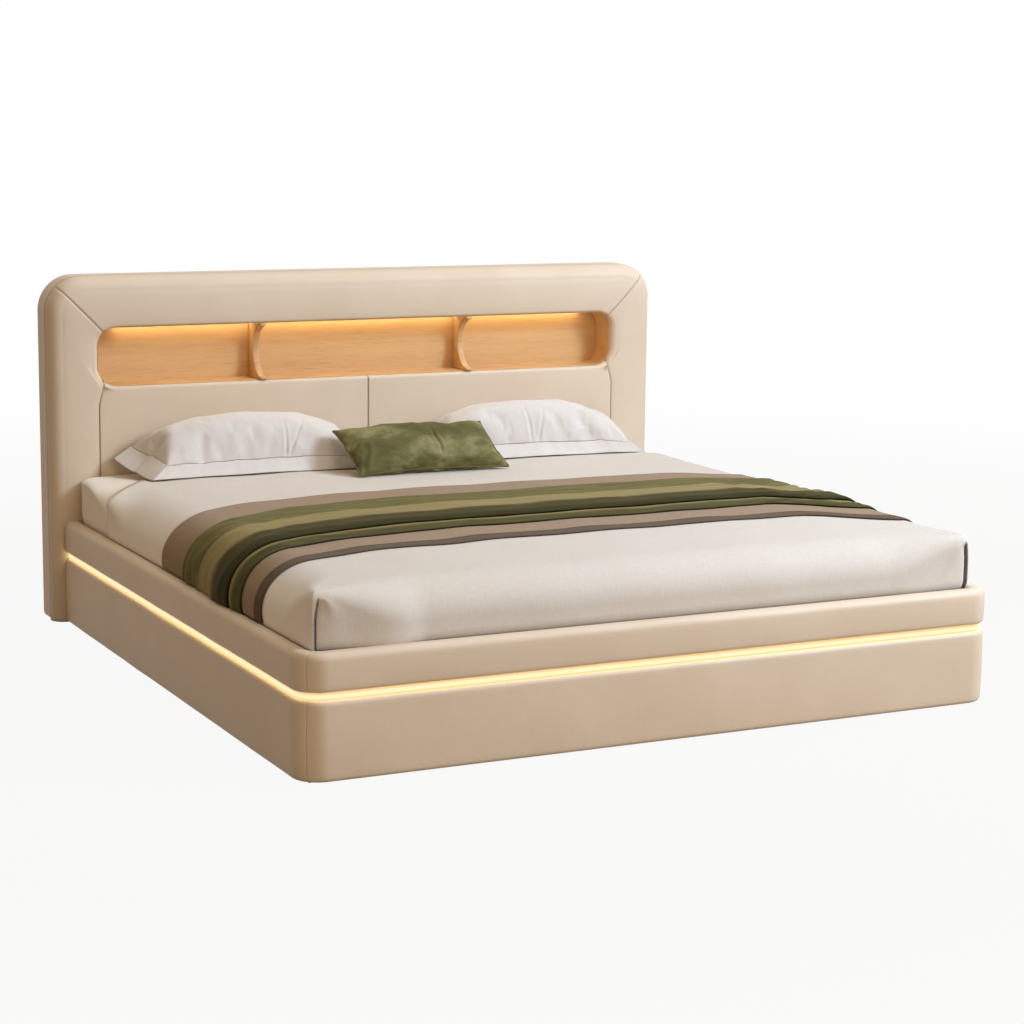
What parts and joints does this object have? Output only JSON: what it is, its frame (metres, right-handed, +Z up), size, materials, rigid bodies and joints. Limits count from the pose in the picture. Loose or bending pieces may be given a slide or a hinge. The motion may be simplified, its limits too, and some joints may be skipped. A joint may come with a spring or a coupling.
{
  "type": "storage bed",
  "caption": "Upholstered double bed with a lit oak niche in its headboard, a light groove round its base, bedding, and a gas strut platform that lifts over two storage wells.",
  "frame": {"origin": "on the floor under the middle of the whole bed's box", "axes": "+Z up, the foot end faces -Y, the headboard stands at +Y, +X is to the right seen from the foot"},
  "size_m": [2.2, 2.21, 1.12],
  "materials": {
    "leather": "smooth cream leather, fine grain, satin",
    "backing": "dark non-woven backing cloth over board",
    "oak": "oak veneer, satin lacquer",
    "board": "plywood, bare",
    "light": "frosted diffuser, lit warm white",
    "aluminium": "anodised",
    "black_plastic": "moulded, fine texture",
    "steel": "black powder coat",
    "rod": "polished",
    "fitted_sheet": "beige cotton sateen sheet",
    "duvet_linen": "washed oat linen",
    "pillow_cotton": "soft cotton, slightly creased",
    "taupe_cloth": "plain woven taupe cloth",
    "olive_velvet": "crushed olive velvet"
  },
  "bodies": {
    "bed_base": {"headboard_carcass": "leather", "headboard_back": "backing", "pad_top": "leather", "pad_post_left": "leather", "pad_post_right": "leather", "pad_lower_left": "leather", "pad_lower_right": "leather", "niche_liner": "oak", "niche_back": "oak", "niche_divider_left": "oak", "niche_divider_right": "oak", "niche_led_channel": "aluminium", "niche_led_diffuser": "light", "power_inlet": "black_plastic", "side_board_left": "board", "side_board_right": "board", "foot_board": "board", "head_board": "board", "lower_pad_foot": "leather", "lower_pad_left": "leather", "lower_pad_right": "leather", "rail_pad_foot": "leather", "rail_pad_left": "leather", "rail_pad_right": "leather", "led_strip": "light", "centre_partition": "board", "storage_floor_left": "board", "storage_floor_right": "board", "side_ledge_left": "board", "side_ledge_right": "board", "foot_ledge": "board", "foot_bracket_left": "steel", "foot_bracket_right": "steel", "head_bracket_left": "steel", "head_bracket_right": "steel", "led_driver": "black_plastic", "lift_base_plate_left": "steel", "lift_base_plate_right": "steel"},
    "lift_arm_left_body": {"lift_arm_left": "steel"},
    "lift_arm_right_body": {"lift_arm_right": "steel"},
    "guide_arm_left_body": {"guide_arm_left": "steel"},
    "guide_arm_right_body": {"guide_arm_right": "steel"},
    "strut_cylinder_left_body": {"strut_cylinder_left": "steel"},
    "strut_cylinder_right_body": {"strut_cylinder_right": "steel"},
    "strut_rod_left_body": {"strut_rod_left": "rod"},
    "strut_rod_right_body": {"strut_rod_right": "rod"},
    "platform": {"platform_frame": "steel", "deck_panel_left": "board", "deck_panel_right": "board", "mattress_stop": "steel", "lift_top_bracket_left": "steel", "lift_top_bracket_right": "steel", "mattress": "fitted_sheet", "duvet": "duvet_linen", "runner": "taupe_cloth", "throw": "olive_velvet", "pillow_left": "pillow_cotton", "pillow_right": "pillow_cotton", "lumbar_cushion": "olive_velvet"}
  },
  "joints": [
    {"name": "platform_lift", "type": "hinge", "parent": "bed_base", "child": "lift_arm_left_body", "pos_m": [-1.0005, 0.40635, 0.11686], "axis": [1, 0, 0], "range_deg": [0, 75]},
    {"name": "platform_tilt", "type": "hinge", "parent": "lift_arm_left_body", "child": "platform", "pos_m": [-1.0005, 0.675, 0.212], "axis": [-1, 0, 0], "range_deg": [0, 108.75]},
    {"name": "lift_arm_right_turn", "type": "hinge", "parent": "bed_base", "child": "lift_arm_right_body", "pos_m": [1.0005, 0.40635, 0.11686], "axis": [1, 0, 0], "range_deg": [0, 75]},
    {"name": "guide_arm_left_turn", "type": "hinge", "parent": "bed_base", "child": "guide_arm_left_body", "pos_m": [-0.9925, 0.30838, 0.10715], "axis": [1, 0, 0], "range_deg": [0, 69.3]},
    {"name": "guide_arm_right_turn", "type": "hinge", "parent": "bed_base", "child": "guide_arm_right_body", "pos_m": [0.9925, 0.30838, 0.10715], "axis": [1, 0, 0], "range_deg": [0, 69.3]},
    {"name": "strut_left_turn", "type": "hinge", "parent": "bed_base", "child": "strut_cylinder_left_body", "pos_m": [-0.97, 0.46485, 0.04487], "axis": [1, 0, 0], "range_deg": [0, 64.13]},
    {"name": "strut_right_turn", "type": "hinge", "parent": "bed_base", "child": "strut_cylinder_right_body", "pos_m": [0.97, 0.46485, 0.04487], "axis": [1, 0, 0], "range_deg": [0, 64.13]},
    {"name": "strut_left_extend", "type": "slide", "parent": "strut_cylinder_left_body", "child": "strut_rod_left_body", "axis": [0, 0.8172, 0.5763], "range_m": [0, 0.1001]},
    {"name": "strut_right_extend", "type": "slide", "parent": "strut_cylinder_right_body", "child": "strut_rod_right_body", "axis": [0, 0.8172, 0.5763], "range_m": [0, 0.1001]}
  ],
  "couplings": [
    {"joint": "platform_tilt", "follows": "platform_lift", "ratio": 1.45},
    {"joint": "lift_arm_right_turn", "follows": "platform_lift", "ratio": 1},
    {"joint": "guide_arm_left_turn", "follows": "platform_lift", "ratio": 0.92392},
    {"joint": "guide_arm_right_turn", "follows": "platform_lift", "ratio": 0.92392},
    {"joint": "strut_left_turn", "follows": "platform_lift", "ratio": 0.85494},
    {"joint": "strut_right_turn", "follows": "platform_lift", "ratio": 0.85494},
    {"joint": "strut_left_extend", "follows": "platform_lift", "m_per_rad": 0.07642},
    {"joint": "strut_right_extend", "follows": "platform_lift", "m_per_rad": 0.07642}
  ]
}
